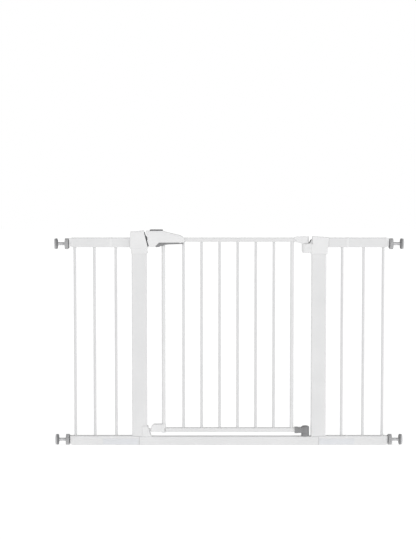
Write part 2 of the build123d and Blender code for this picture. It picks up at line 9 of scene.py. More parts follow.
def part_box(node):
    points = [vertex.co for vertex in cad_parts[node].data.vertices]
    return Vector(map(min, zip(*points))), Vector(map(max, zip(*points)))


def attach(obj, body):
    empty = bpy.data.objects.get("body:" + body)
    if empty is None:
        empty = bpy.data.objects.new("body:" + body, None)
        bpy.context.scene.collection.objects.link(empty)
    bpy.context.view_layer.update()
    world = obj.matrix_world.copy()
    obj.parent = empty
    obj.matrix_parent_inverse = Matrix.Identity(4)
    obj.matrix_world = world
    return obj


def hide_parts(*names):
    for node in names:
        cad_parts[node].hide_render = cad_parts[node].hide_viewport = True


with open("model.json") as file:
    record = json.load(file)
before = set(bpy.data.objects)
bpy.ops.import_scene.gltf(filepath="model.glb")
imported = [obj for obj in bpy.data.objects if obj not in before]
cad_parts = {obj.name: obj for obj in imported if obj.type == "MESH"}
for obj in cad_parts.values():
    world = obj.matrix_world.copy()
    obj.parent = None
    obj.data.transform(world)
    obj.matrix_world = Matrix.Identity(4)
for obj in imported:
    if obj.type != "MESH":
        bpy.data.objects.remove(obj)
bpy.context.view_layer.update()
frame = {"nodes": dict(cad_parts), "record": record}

NODES = frame["nodes"]
MM = 0.001
SIDES = {"left": -1, "right": 1}
LEVELS = ("top", "bottom")


# ---- Materials ----
def shader(name, colour, roughness, metallic=0.0):
    """A material with a principled shader, its node tree and the shader."""
    material = bpy.data.materials.new(name)
    material.use_nodes = True
    tree = material.node_tree
    surface = tree.nodes["Principled BSDF"]
    surface.inputs["Base Color"].default_value = (*colour, 1.0)
    surface.inputs["Roughness"].default_value = roughness
    surface.inputs["Metallic"].default_value = metallic
    return material, tree, surface


def object_noise(tree, scale, detail, stretch=(1, 1, 1)):
    """Noise that is fixed to the piece, with its own stretch along each axis."""
    place = tree.nodes.new("ShaderNodeTexCoord")
    mapping = tree.nodes.new("ShaderNodeMapping")
    mapping.inputs["Scale"].default_value = stretch
    noise = tree.nodes.new("ShaderNodeTexNoise")
    noise.inputs["Scale"].default_value = scale
    noise.inputs["Detail"].default_value = detail
    tree.links.new(place.outputs["Object"], mapping.inputs["Vector"])
    tree.links.new(mapping.outputs["Vector"], noise.inputs["Vector"])
    return noise


TONE_STOPS = (0.3, 0.7)      # the noise's levels at which the two tones are pure


def tint(tree, surface, noise, low, high):
    """Lets the colour drift between two tones with the noise."""
    ramp = tree.nodes.new("ShaderNodeValToRGB")
    for stop, place, tone in zip(ramp.color_ramp.elements, TONE_STOPS, (low, high)):
        stop.position = place
        stop.color = (*tone, 1.0)
    tree.links.new(noise.outputs["Fac"], ramp.inputs["Fac"])
    tree.links.new(ramp.outputs["Color"], surface.inputs["Base Color"])


def vary_roughness(tree, surface, noise, low, high):
    """Lets the roughness drift between two values with the noise."""
    span = tree.nodes.new("ShaderNodeMapRange")
    span.inputs["To Min"].default_value = low
    span.inputs["To Max"].default_value = high
    tree.links.new(noise.outputs["Fac"], span.inputs["Value"])
    tree.links.new(span.outputs["Result"], surface.inputs["Roughness"])


def relief(tree, surface, noise, distance, strength):
    """Bump of a real height in metres."""
    bump = tree.nodes.new("ShaderNodeBump")
    bump.inputs["Distance"].default_value = distance
    bump.inputs["Strength"].default_value = strength
    tree.links.new(noise.outputs["Fac"], bump.inputs["Height"])
    tree.links.new(bump.outputs["Normal"], surface.inputs["Normal"])


def powder_coat(name, low, high):
    """Baked white powder coat: a faint orange peel and a slow drift of tone."""
    material, tree, surface = shader(name, high, roughness=0.42)
    drift = object_noise(tree, scale=9.0, detail=2.0)
    gloss = object_noise(tree, scale=60.0, detail=3.0)
    peel = object_noise(tree, scale=520.0, detail=3.0)
    tint(tree, surface, drift, low, high)
    vary_roughness(tree, surface, gloss, 0.36, 0.50)
    relief(tree, surface, peel, distance=0.12 * MM, strength=0.55)
    surface.inputs["Coat Weight"].default_value = 0.15
    surface.inputs["Coat Roughness"].default_value = 0.25
    return material


def moulded(name, low, high, roughness):
    """Moulded plastic with a fine spark-eroded grain."""
    material, tree, surface = shader(name, high, roughness)
    drift = object_noise(tree, scale=14.0, detail=2.0)
    grain = object_noise(tree, scale=900.0, detail=2.0)
    tint(tree, surface, drift, low, high)
    vary_roughness(tree, surface, grain, roughness - 0.07, roughness + 0.08)
    relief(tree, surface, grain, distance=0.10 * MM, strength=0.6)
    return material


def plated_steel(name, low, high):
    """Zinc-plated steel with faint turning marks and cloudy plating."""
    material, tree, surface = shader(name, (0.70, 0.70, 0.71), roughness=0.3, metallic=0.6)
    clouds = object_noise(tree, scale=120.0, detail=4.0)
    marks = object_noise(tree, scale=300.0, detail=2.0, stretch=(8, 1, 1))
    tint(tree, surface, clouds, low, high)
    vary_roughness(tree, surface, marks, 0.24, 0.42)
    relief(tree, surface, marks, distance=0.06 * MM, strength=0.5)
    return material


def soft_rubber(name, low, high):
    """Matt rubber with a fine, even tooth."""
    material, tree, surface = shader(name, (0.52, 0.52, 0.53), roughness=0.75)
    tint(tree, surface, object_noise(tree, scale=30.0, detail=2.0), low, high)
    tooth = object_noise(tree, scale=1500.0, detail=2.0)
    relief(tree, surface, tooth, distance=0.12 * MM, strength=0.8)
    return material


def label_film(name, low, high):
    """Blank printed film, a pale blue grey with a slight sheen."""
    material, tree, surface = shader(name, (0.60, 0.61, 0.63), roughness=0.28)
    tint(tree, surface, object_noise(tree, scale=40.0, detail=2.0), low, high)
    ripple = object_noise(tree, scale=220.0, detail=1.0)
    relief(tree, surface, ripple, distance=0.05 * MM, strength=0.5)
    return material


FINISH = {
    "white_steel": powder_coat(
        "white powder coat", (0.665, 0.666, 0.669), (0.695, 0.695, 0.698)),
    "white_bar_steel": powder_coat(
        "white coat on bars", (0.625, 0.627, 0.632), (0.655, 0.656, 0.660)),
    "white_plastic": moulded(
        "white moulding", (0.705, 0.705, 0.708), (0.735, 0.735, 0.738), 0.40),
    "light_grey_plastic": moulded(
        "light grey moulding", (0.37, 0.37, 0.375), (0.41, 0.41, 0.415), 0.34),
    "grey_plastic": moulded(
        "grey moulding", (0.205, 0.205, 0.21), (0.24, 0.24, 0.245), 0.22),
    "dark_grey_plastic": moulded(
        "dark grey moulding", (0.095, 0.095, 0.10), (0.12, 0.12, 0.125), 0.42),
    "bright_steel": plated_steel(
        "zinc-plated steel", (0.62, 0.62, 0.63), (0.78, 0.78, 0.79)),
    "grey_rubber": soft_rubber(
        "grey rubber", (0.48, 0.48, 0.49), (0.55, 0.55, 0.56)),
    "label_film": label_film(
        "blank label film", (0.635, 0.645, 0.665), (0.67, 0.68, 0.70)),
}


def finish_cad_nodes():
    """Every piece carried over from the frame gets the finish of its slot."""
    for row in frame["record"]["subparts"]:
        mesh = NODES[row["node"]].data
        mesh.materials.clear()
        mesh.materials.append(FINISH[row["material_slot"]])


# ---- Modelling steps ----
STRAIGHT = 0.999             # how closely a face or an edge has to follow an axis
TURN = {"x": (0, math.pi / 2, 0), "y": (math.pi / 2, 0, 0), "z": (0, 0, 0)}


def only(piece):
    """Leaves this piece selected, and nothing else."""
    bpy.ops.object.select_all(action="DESELECT")
    piece.select_set(True)
    bpy.context.view_layer.objects.active = piece


def settle(piece):
    """Puts the piece's place and turn into its mesh, so that its object sits at the origin."""
    only(piece)
    bpy.ops.object.transform_apply(location=True, rotation=True, scale=True)
    return piece


def block(name, corner, far_corner, turn=0.0):
    """A cuboid between two opposite corners, turned about its middle in the gate's plane."""
    low, high = zip(*(sorted(pair) for pair in zip(corner, far_corner)))
    middle = [(a + b) / 2 for a, b in zip(low, high)]
    bpy.ops.object.select_all(action="DESELECT")
    bpy.ops.mesh.primitive_cube_add(size=1, location=middle, rotation=(0, turn, 0),
                                    scale=[b - a for a, b in zip(low, high)])
    piece = bpy.context.object
    piece.name = name
    return settle(piece)


def cylinder(name, centre, radius, length, axis, sides=64):
    bpy.ops.object.select_all(action="DESELECT")
    bpy.ops.mesh.primitive_cylinder_add(vertices=sides, radius=radius, depth=length,
                                        location=centre, rotation=TURN[axis])
    piece = bpy.context.object
    piece.name = name
    return settle(piece)


def edit(piece, kind, chosen):
    """Opens the piece in edit mode with only the chosen faces, edges or vertices selected."""
    only(piece)
    bpy.ops.object.mode_set(mode="EDIT")
    bpy.ops.mesh.select_mode(type=kind)
    bpy.ops.mesh.select_all(action="DESELECT")
    mesh = bmesh.from_edit_mesh(piece.data)
    for row in {"FACE": mesh.faces, "EDGE": mesh.edges, "VERT": mesh.verts}[kind]:
        if chosen(row):
            row.select_set(True)
    bmesh.update_edit_mesh(piece.data)


def done():
    """Closes edit mode."""
    bpy.ops.object.mode_set(mode="OBJECT")


def everything(row):
    """Chooses all faces, edges or vertices."""
    return True


def facing(direction):
    """Chooses the faces that look straight along a direction."""
    way = Vector(direction)
    return lambda face: face.normal.dot(way) > STRAIGHT


def ends(axis):
    """Chooses the faces that look either way along one of the three axes."""
    return lambda face: abs(face.normal[axis]) > STRAIGHT


def along(axis):
    """Chooses the edges that run along one of the three axes."""
    def test(edge):
        run = edge.verts[1].co - edge.verts[0].co
        return abs(run[axis]) > STRAIGHT * run.length
    return test


def inset(width):
    bpy.ops.mesh.inset(thickness=width)


def extrude(shift):
    bpy.ops.mesh.extrude_region_move(TRANSFORM_OT_translate={"value": shift})


def round_corners(piece, edges, width, segments):
    """Bevels the chosen edges."""
    edit(piece, "EDGE", edges)
    bpy.ops.mesh.bevel(offset=width, segments=segments, affect="EDGES")
    done()


def round_edges(piece, width, segments=3, angle=40.0):
    """Rounds every edge that is sharper than the angle, and shades the rest smooth."""
    bevel = piece.modifiers.new("rounding", "BEVEL")
    bevel.width = width
    bevel.segments = segments
    bevel.limit_method = "ANGLE"
    bevel.angle_limit = math.radians(angle)
    only(piece)
    bpy.ops.object.modifier_apply(modifier=bevel.name)
    bpy.ops.object.shade_smooth_by_angle(angle=math.radians(angle))


def hollow(piece, wall):
    """Opens the piece right through along X, and leaves a wall of this thickness."""
    edit(piece, "FACE", ends(0))
    inset(wall)
    bpy.ops.mesh.bridge_edge_loops()
    done()


def cut(piece, cutter):
    """Takes the cutter's shape out of the piece."""
    boolean = piece.modifiers.new("cut", "BOOLEAN")
    boolean.operation = "DIFFERENCE"
    boolean.solver = "EXACT"
    boolean.object = cutter
    only(piece)
    bpy.ops.object.modifier_apply(modifier=boolean.name)
    bpy.data.objects.remove(cutter, do_unlink=True)


def join(name, parts):
    bpy.ops.object.select_all(action="DESELECT")
    for part in parts:
        part.select_set(True)
    bpy.context.view_layer.objects.active = parts[0]
    bpy.ops.object.join()
    parts[0].name = name
    return parts[0]


def copy(piece, name, shift=(0, 0, 0), turn=(0, 0, 0)):
    """A copy with its own mesh, turned about the origin and then shifted."""
    twin = piece.copy()
    twin.data = piece.data.copy()
    twin.name = name
    bpy.context.scene.collection.objects.link(twin)
    twin.rotation_euler = turn
    twin.location = shift
    return settle(twin)


def ring_of(piece, count, centre):
    """The piece and its copies, spaced evenly round an axis along X through the centre."""
    rows = [piece]
    for k in range(1, count):
        angle = 2 * math.pi * k / count
        turned = Matrix.Rotation(angle, 3, "X") @ Vector(centre)
        rows.append(copy(piece, piece.name, Vector(centre) - turned, (angle, 0, 0)))
    return rows


def mount(piece, body, slot, *stands_for):
    """Gives the piece its finish and its body, and hides the nodes that it stands for."""
    piece.data.materials.clear()
    piece.data.materials.append(FINISH[slot])
    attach(piece, body)
    if stands_for:
        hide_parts(*stands_for)


def middle_of(node):
    low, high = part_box(node)
    return Vector([(a + b) / 2 for a, b in zip(low, high)])


def half_height(node):
    """The radius of a round node that lies along X."""
    low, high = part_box(node)
    return (high[2] - low[2]) / 2


def reach_of(node):
    """How far from the gate's middle the node starts, and how far from it the node ends."""
    low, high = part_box(node)
    return sorted((abs(low[0]), abs(high[0])))


# ---- Wall spindles ----
# Each piece is modelled at the lower right corner of the gate and copied to all four corners.
PITCH = 3.0 * MM
THREAD_DEPTH = 0.65 * MM
THREAD_STEPS = 28            # facets in one turn
EARLY = 1.5                  # turns swept before the rod's start, and trimmed off again
SPARE = 3                    # turns swept beyond the rod's length
WELD_GAP = 0.01 * MM         # vertices closer than this are merged

DISC_SIDES = 96
DISC_THICK = 4.6 * MM
DISC_RIM = 2.4 * MM
DISH = 1.6 * MM
DISC_HUB_STEP = 7.4 * MM     # from the dish's edge to the hub
HUB_TAPER = 0.9
RIBS = 8
RIB_HALF = 0.8 * MM
RIB_FROM = 7.4 * MM          # from the disc's axis
RIB_SHORT = 2.0 * MM         # from the rib's outer end to the disc's edge
RIB_DEPTHS = (0.3 * MM, 2.4 * MM)        # its two sides, from the face towards the wall

GRIP_RINGS = 3
RING_WIDTH = 2.6 * MM
RING_GAP = 1.6 * MM
RING_DEEP = 0.9 * MM

NUT_SIDES = 128
NUT_RIM = 4.2 * MM
NUT_DISH = 2.4 * MM
BORE_FIT = 0.05 * MM
GRIPS = 16
GROOVE = ((1.2, 0.952), (0.4, 0.965))    # facets from the groove's middle, share of radius left
NUT_HUB_R = 9.4 * MM
NUT_HUB_LONG = 3.0 * MM
NUT_HUB_IN = 1.6 * MM        # from the nut's outer face to the hub's middle

WASHER = 2.2 * MM
WASHER_GAP = 0.1 * MM        # from the end plug
WASHER_R = 15.5 * MM
WASHER_WALL = 9.2 * MM


def to_corner(model, kind, side, level):
    """A copy for one corner: turned half round for the left, raised for the top."""
    home = middle_of("right_bottom_rod")
    there = middle_of(f"{side}_{level}_rod")
    turn = (0, 0, math.pi) if side == "left" else (0, 0, 0)
    return copy(model, f"{side}_{level}_{kind}", (0, 0, there.z - home.z), turn)


def threaded_rod():
    """One V of the thread, swept into a screw and trimmed to the rod's length."""
    low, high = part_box("right_bottom_rod")
    bpy.ops.object.select_all(action="DESELECT")
    bpy.ops.mesh.primitive_circle_add(vertices=4, radius=PITCH / 2, rotation=(math.pi / 2, 0, 0))
    rod = bpy.context.object
    rod.name = "threaded rod"
    settle(rod)
    edit(rod, "VERT", lambda vertex: vertex.co.z < -PITCH / 4)
    bpy.ops.mesh.delete(type="VERT")
    bpy.ops.mesh.select_all(action="SELECT")
    bpy.ops.transform.resize(value=(1, 1, 2 * THREAD_DEPTH / PITCH))
    done()
    settle(rod)
    crest = max(vertex.co.z for vertex in rod.data.vertices)
    rod.location = (0, 0, half_height("right_bottom_rod") - crest)
    settle(rod)
    screw = rod.modifiers.new("thread", "SCREW")
    screw.axis = "X"
    screw.screw_offset = PITCH
    screw.iterations = int((high[0] - low[0]) / PITCH) + SPARE
    screw.steps = THREAD_STEPS
    screw.render_steps = THREAD_STEPS
    only(rod)
    bpy.ops.object.modifier_apply(modifier=screw.name)
    rod.location = (low[0] - EARLY * PITCH, 0, (low[2] + high[2]) / 2)
    settle(rod)
    edit(rod, "VERT", everything)
    bpy.ops.mesh.remove_doubles(threshold=WELD_GAP)
    for end, way in ((low, (-1, 0, 0)), (high, (1, 0, 0))):
        bpy.ops.mesh.bisect(plane_co=end, plane_no=way, use_fill=True, clear_outer=True)
        bpy.ops.mesh.select_all(action="SELECT")
    bpy.ops.mesh.normals_make_consistent(inside=False)
    done()
    bpy.ops.object.shade_smooth_by_angle(angle=math.radians(30))
    return rod


def end_disc():
    """A dished disc with a hub and eight ribs on the side that faces the gate."""
    low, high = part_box("right_bottom_disc")
    height = middle_of("right_bottom_disc").z
    radius = half_height("right_bottom_disc")
    face_x = high[0] - DISC_THICK
    disc = cylinder("end disc", (high[0] - DISC_THICK / 2, 0, height), radius, DISC_THICK, "x",
                    DISC_SIDES)
    edit(disc, "FACE", facing((-1, 0, 0)))
    inset(DISC_RIM)
    extrude((DISH, 0, 0))
    inset(DISC_HUB_STEP)
    extrude((low[0] - face_x - DISH, 0, 0))
    bpy.ops.transform.resize(value=(1, HUB_TAPER, HUB_TAPER))
    done()
    near, far = (face_x + depth for depth in RIB_DEPTHS)
    rib = block("rib", (near, -RIB_HALF, height + RIB_FROM),
                (far, RIB_HALF, height + radius - RIB_SHORT))
    disc = join("end disc", [disc] + ring_of(rib, RIBS, (0, 0, height)))
    round_edges(disc, 0.7 * MM)
    return disc


def disc_facing():
    """A rubber pad with three grip rings on the side that meets the wall."""
    low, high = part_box("right_bottom_facing")
    centre = middle_of("right_bottom_facing")
    radius = half_height("right_bottom_facing")

    def on_rim(edge):
        """Whether an edge runs round one of the pad's two outer rims."""
        one, two = (vertex.co for vertex in edge.verts)
        out = min(math.hypot(place.y, place.z - centre.z) for place in (one, two))
        return (edge.is_manifold and out > 0.99 * radius and abs(one.x - two.x) < 0.1 * MM
                and edge.calc_face_angle() > 1.0)

    pad = cylinder("disc facing", centre, radius, high[0] - low[0], "x", DISC_SIDES)
    edit(pad, "FACE", facing((1, 0, 0)))
    for _ in range(GRIP_RINGS):
        inset(RING_WIDTH)
        extrude((-RING_DEEP, 0, 0))
        inset(RING_GAP)
        extrude((RING_DEEP, 0, 0))
    done()
    round_corners(pad, on_rim, 1.3 * MM, 4)
    round_edges(pad, 0.35 * MM, segments=2)
    return pad


def in_groove(place, centre, radius, reach):
    """Whether a rim vertex lies within so many facets of the middle of a grip groove."""
    facets = NUT_SIDES // GRIPS
    turn = math.atan2(place.y, place.z - centre.z) * NUT_SIDES / (2 * math.pi)
    on_rim = math.hypot(place.y, place.z - centre.z) > 0.9 * radius
    return on_rim and abs(turn % facets - facets / 2) < reach


def hand_nut():
    """A hand wheel with grip grooves round its rim, a dished face and a raised hub."""
    low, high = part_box("right_bottom_nut")
    centre = middle_of("right_bottom_nut")
    radius = half_height("right_bottom_nut")
    bore = half_height("right_bottom_rod") + BORE_FIT
    start = low[0] + WASHER
    wheel = cylinder("hand nut", ((start + high[0]) / 2, 0, centre.z), radius, high[0] - start,
                     "x", NUT_SIDES)
    edit(wheel, "FACE", facing((1, 0, 0)))
    inset(NUT_RIM)
    extrude((-NUT_DISH, 0, 0))
    inset(radius - NUT_RIM - bore)
    done()
    edit(wheel, "FACE", facing((-1, 0, 0)))
    inset(radius - bore)
    done()
    edit(wheel, "FACE", lambda face: len(face.verts) == NUT_SIDES)
    bpy.ops.mesh.bridge_edge_loops()
    done()
    for reach, share in GROOVE:
        edit(wheel, "VERT", lambda vertex: in_groove(vertex.co, centre, radius, reach))
        bpy.ops.transform.resize(value=(1, share, share), center_override=centre)
        done()
    round_edges(wheel, 0.35 * MM, segments=2)
    hub = cylinder("hub", (high[0] - NUT_HUB_IN, 0, centre.z), NUT_HUB_R, NUT_HUB_LONG, "x")
    hollow(hub, NUT_HUB_R - bore)
    round_edges(hub, 0.6 * MM)
    return join("hand nut", [wheel, hub])


def nut_shade_washer():
    """A washer between the hand nut and the end plug, made dark as painted shade for the
    shadowed gap between them.
    """
    low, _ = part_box("right_bottom_nut")
    middle = (low[0] + WASHER_GAP + WASHER / 2, 0, middle_of("right_bottom_nut").z)
    washer = cylinder("nut shade washer", middle, WASHER_R, WASHER, "x", sides=72)
    hollow(washer, WASHER_WALL)
    round_edges(washer, 0.4 * MM, segments=2)
    return washer


def wall_spindles():
    models = (
        (threaded_rod(), "rod", "spindle", "bright_steel", "rod"),
        (end_disc(), "disc", "spindle", "grey_plastic", "disc"),
        (disc_facing(), "facing", "spindle", "grey_rubber", "facing"),
        (hand_nut(), "nut", "nut", "light_grey_plastic", "nut"),
        # The washer's dark grey is painted shade for the gap between the nut and the end plug.
        (nut_shade_washer(), "nut_shade_washer", "nut", "dark_grey_plastic", None),
    )
    for model, kind, body, slot, node in models:
        for side in SIDES:
            for level in LEVELS:
                piece = to_corner(model, f"{kind}_detailed", side, level)
                stands_for = [f"{side}_{level}_{node}"] if node else []
                mount(piece, f"{side}_{level}_{body}", slot, *stands_for)
        bpy.data.objects.remove(model, do_unlink=True)


# ---- Rails, bars and labels ----
RAIL_CORNER = 3.4 * MM
LIP = 2.2 * MM               # length of the end plugs' lips
LIP_PROUD = {"top": 0.45 * MM, "bottom": 0.22 * MM}
SEAL_HALF = 0.6 * MM
SEAL_PROUD = 0.1 * MM
SEAL_WALL = 1.0 * MM
BEAD_ON_BAR = 4.9 * MM       # from the bar's axis to the middle of its weld bead
BEAD = 1.0 * MM              # radius of the bead itself
BEAD_PINCH = 0.985           # how far its upper and lower edges are drawn in
STILE_GAP = 0.2 * MM         # from the stile to the middle of its bead
BAR_GAP = 12 * MM            # vertices farther apart than this belong to two bars
LABEL_IN = 2.5 * MM          # from the inner rail's start to the label
LABEL_CORNER = 2.5 * MM


def collar(name, corner, far_corner, wall):
    """A thin ring of rounded rectangle round a rail."""
    ring = block(name, corner, far_corner)
    round_corners(ring, along(0), RAIL_CORNER, 4)
    hollow(ring, wall)
    round_edges(ring, 0.18 * MM, segments=2)
    return ring


def rail_collars():
    """Plastic lips at each coupler and each end plug, a touch proud of the rails."""
    rings = []
    for side, sign in SIDES.items():
        for level in LEVELS:
            proud = LIP_PROUD[level]
            low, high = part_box(f"{side}_inner_{level}_rail")
            _, inner_end = reach_of(f"{side}_inner_{level}_rail")
            outer_start, outer_end = reach_of(f"{side}_outer_{level}_rail")
            base = max(low[2] - proud, 0.0)
            for start, end in ((inner_end, outer_start), (outer_end, outer_end + LIP)):
                rings.append(collar("collar", (sign * start, low[1] - proud, base),
                                    (sign * end, high[1] + proud, high[2] + proud), proud))
    mount(join("rail_collars", rings), "frame", "white_plastic")


def sill_seals():
    """A thin grey seal where the sill meets the lower rail of each wing."""
    low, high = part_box("sill_rail")
    rings = []
    for sign in SIDES.values():
        meeting = sign * high[0]
        rings.append(collar(
            "seal", (meeting - SEAL_HALF, low[1] - SEAL_PROUD, 0.0),
            (meeting + SEAL_HALF, high[1] + SEAL_PROUD, high[2] + SEAL_PROUD), SEAL_WALL))
    mount(join("sill_seals", rings), "frame", "light_grey_plastic")


def weld(x, z, radius):
    """A small bead where a bar meets a rail."""
    bpy.ops.object.select_all(action="DESELECT")
    bpy.ops.mesh.primitive_torus_add(major_radius=radius, minor_radius=BEAD, major_segments=36,
                                     minor_segments=10, location=(x, 0, z))
    bead = bpy.context.object
    bead.name = "weld"
    settle(bead)
    edit(bead, "VERT", lambda vertex: abs(vertex.co.z - z) > 0.6 * BEAD)
    bpy.ops.transform.resize(value=(BEAD_PINCH, BEAD_PINCH, 1))
    done()
    bpy.ops.object.shade_smooth()
    return bead


def bar_places(node):
    """The middle of each bar in a node, from the gaps between its vertices along X."""
    places = []
    for x in sorted(vertex.co.x for vertex in NODES[node].data.vertices):
        if not places or x - places[-1][-1] > BAR_GAP:
            places.append([x])
        else:
            places[-1].append(x)
    return [(row[0] + row[-1]) / 2 for row in places]


def welds():
    """A bead at both ends of every bar, and of the door's hinge stile."""
    groups = (("door_bars", "door", "door_bar_welds"),
              ("left_wing_bars", "frame", "left_wing_welds"),
              ("right_wing_bars", "frame", "right_wing_welds"))
    for node, body, name in groups:
        low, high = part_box(node)
        beads = [weld(x, z, BEAD_ON_BAR) for x in bar_places(node) for z in (low[2], high[2])]
        mount(join(name, beads), body, "white_bar_steel")
    low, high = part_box("door_hinge_stile")
    middle = (low[0] + high[0]) / 2
    radius = (high[0] - low[0]) / 2 + STILE_GAP
    beads = [weld(middle, z, radius) for z in (low[2], high[2])]
    mount(join("hinge_stile_welds", beads), "door", "white_steel")


def labels():
    """Blank films on the lower rails, with rounded corners."""
    low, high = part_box("blank_labels")
    films = []
    for side, sign in SIDES.items():
        start = reach_of(f"{side}_inner_bottom_rail")[0] + LABEL_IN
        film = block("film", (sign * start, low[1], low[2]), (sign * high[0], high[1], high[2]))
        round_corners(film, along(1), LABEL_CORNER, 5)
        round_edges(film, 0.08 * MM, segments=2)
        films.append(film)
    mount(join("rail_labels", films), "frame", "label_film", "blank_labels")


# ---- Handle and latch ----
SUNK = 0.15 * MM             # how deep a panel reaches into its casing
PANEL_EDGE = 0.2 * MM
# The panels' slanted sides: a point in X and Z, and the way out of the panel.
HANDLE_SIDES = (((-0.226, 0.7548), (13.5, 54.0)), ((-0.281, 0.726), (-0.98, -0.20)))
CAP_SIDES = (((-0.300, 0.7578), (-0.094, 0.996)), ((-0.2965, 0.729), (0.9725, 0.2327)))
CAP_PANEL_LOW = 0.7290
THUMB_RIBS = 9
THUMB_MARGIN = 7.0 * MM      # from the slider's ends to the first and last rib
RIB_TIP = (0.5, 1.06, 0.5)   # how a rib's end faces shrink and move out
# Millimetres along X and Z from the trigger's first rib, at the nub's tip, to the others.
TRIGGER_RIBS = ((-2.6, 1.0), (-5.0, 2.6), (3.0, 0.35), (5.8, 0.7), (8.6, 1.3), (11.4, 2.4))


def trimmed(name, corner, far_corner, planes, rounding):
    """A thin panel: a block that slanted planes trim, with rounded corners and rim."""
    panel = block(name, corner, far_corner)
    for (x, z), (out_x, out_z) in planes:
        edit(panel, "FACE", everything)
        way = Vector((out_x, 0, out_z)).normalized()
        bpy.ops.mesh.bisect(plane_co=(x, corner[1], z), plane_no=way, use_fill=True,
                            clear_outer=True)
        done()
    round_corners(panel, along(1), rounding, 5)
    round_edges(panel, PANEL_EDGE)
    return panel


def both_faces(name, body, depth, proud, x, z, planes, rounding):
    """The same panel on the front and on the back of a casing, between two x and two z."""
    for place, sign in (("front", -1), ("back", 1)):
        inner, outer = sorted((sign * (depth - SUNK), sign * (depth + proud)))
        panel = trimmed(f"{name}_{place}_panel", (x[0], inner, z[0]), (x[1], outer, z[1]),
                        planes, rounding)
        mount(panel, body, "white_plastic")


def casing_panels():
    """Raised panels on the handle and on the latch cap, trimmed along their slanted sides."""
    low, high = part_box("handle_front_shell")
    rail_low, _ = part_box("door_top_rail")
    both_faces("handle", "door", depth=-low[1], proud=0.35 * MM,
               x=(low[0] + 2 * MM, high[0] - 5.5 * MM),
               z=(rail_low[2] + 3 * MM, high[2] - 4.2 * MM),
               planes=HANDLE_SIDES, rounding=5.0 * MM)
    low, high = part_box("latch_cap")
    both_faces("latch_cap", "frame", depth=high[1], proud=0.30 * MM,
               x=(low[0] + 4 * MM, high[0] - 4 * MM),
               z=(CAP_PANEL_LOW, high[2] - 4.5 * MM),
               planes=CAP_SIDES, rounding=2.5 * MM)


def thumb_ribs():
    """Nine grip ribs across the thumb slider."""
    low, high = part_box("thumb_slider")
    first = low[0] + THUMB_MARGIN
    step = (high[0] - THUMB_MARGIN - first) / (THUMB_RIBS - 1)
    rib = cylinder("rib", (first, 0, high[2] - 0.25 * MM), radius=0.95 * MM, length=13.0 * MM,
                   axis="y", sides=20)
    edit(rib, "FACE", ends(1))
    bpy.ops.mesh.extrude_region_move()
    bpy.ops.transform.resize(value=RIB_TIP)
    done()
    round_edges(rib, 0.2 * MM, segments=2, angle=50)
    ribs = [rib] + [copy(rib, "rib", (k * step, 0, 0)) for k in range(1, THUMB_RIBS)]
    mount(join("thumb_slider_ribs", ribs), "thumb_slider", "dark_grey_plastic")


def trigger_ribs():
    """Grip ribs under the trigger's finger nub."""
    low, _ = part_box("trigger_lever")
    rib = cylinder("rib", (low[0] + 4.6 * MM, 0, low[2] + 0.35 * MM), radius=0.85 * MM,
                   length=19.0 * MM, axis="y", sides=20)
    round_edges(rib, 0.35 * MM, segments=2, angle=50)
    ribs = [rib] + [copy(rib, "rib", (x * MM, 0, z * MM)) for x, z in TRIGGER_RIBS]
    mount(join("trigger_ribs", ribs), "trigger", "grey_plastic")


# ---- Hinge ----
RAMP_MIDDLE = (0.2862, 0, 0.7245)
RAMP_HALF = (1.0 * MM, 6.2 * MM, 7.4 * MM)
RAMP_TILT = 31.5             # degrees from upright
SOCKET_HALF = 10.5 * MM      # half the socket's depth
SOCKET_Z = (44 * MM, 63.4 * MM)
SOCKET_MOUTH = (-0.2 * MM, 11 * MM)      # the collar's ends, from the barrel's end
SOCKET_PROUD = 0.9 * MM
SOCKET_SUNK = 0.3 * MM


def ramp_shadow_strip():
    """A dark strip down the slope beside the top hinge, where the knuckle comes to rest; its
    dark colour is painted shade, standing in for the shadow in the gap there.
    """
    middle, half = Vector(RAMP_MIDDLE), Vector(RAMP_HALF)
    strip = block("ramp_shadow_strip", middle - half, middle + half, math.radians(RAMP_TILT))
    round_edges(strip, 0.7 * MM)
    # Its dark grey is painted shade for the gap beside the knuckle.
    mount(strip, "frame", "dark_grey_plastic")


def socket_collar():
    """A thicker ring at the mouth of the lower hinge's socket."""
    low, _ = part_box("hinge_barrel")
    start, end = (low[0] + shift for shift in SOCKET_MOUTH)
    half = SOCKET_HALF + SOCKET_PROUD
    ring = collar("socket_collar", (start, -half, SOCKET_Z[0] - SOCKET_PROUD),
                  (end, half, SOCKET_Z[1] + SOCKET_PROUD), SOCKET_PROUD + SOCKET_SUNK)
    mount(ring, "door", "grey_plastic")


def arm_plug():
    """A small domed plug on the front of the hinge cap's round arm."""
    low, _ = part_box("hinge_cap")
    middle = (middle_of("top_hinge_pin").x + 9 * MM, low[1] + 2.1 * MM, low[2] + 21.3 * MM)
    plug = cylinder("arm_plug", middle, radius=3.2 * MM, length=3.4 * MM, axis="y", sides=40)
    edit(plug, "FACE", facing((0, -1, 0)))
    inset(0.8 * MM)
    extrude((0, 0.5 * MM, 0))
    done()
    round_edges(plug, 0.2 * MM)
    mount(plug, "frame", "white_plastic")


def barrel_cap():
    """A raised button on top of the lower hinge's barrel."""
    _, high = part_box("hinge_barrel")
    middle = (middle_of("bottom_hinge_pin").x, 0, high[2])
    cap = cylinder("barrel_cap", middle, radius=7.0 * MM, length=1.2 * MM, axis="z")
    edit(cap, "FACE", facing((0, 0, 1)))
    inset(1.4 * MM)
    extrude((0, 0, -0.5 * MM))
    done()
    round_edges(cap, 0.2 * MM)
    mount(cap, "door", "grey_plastic")


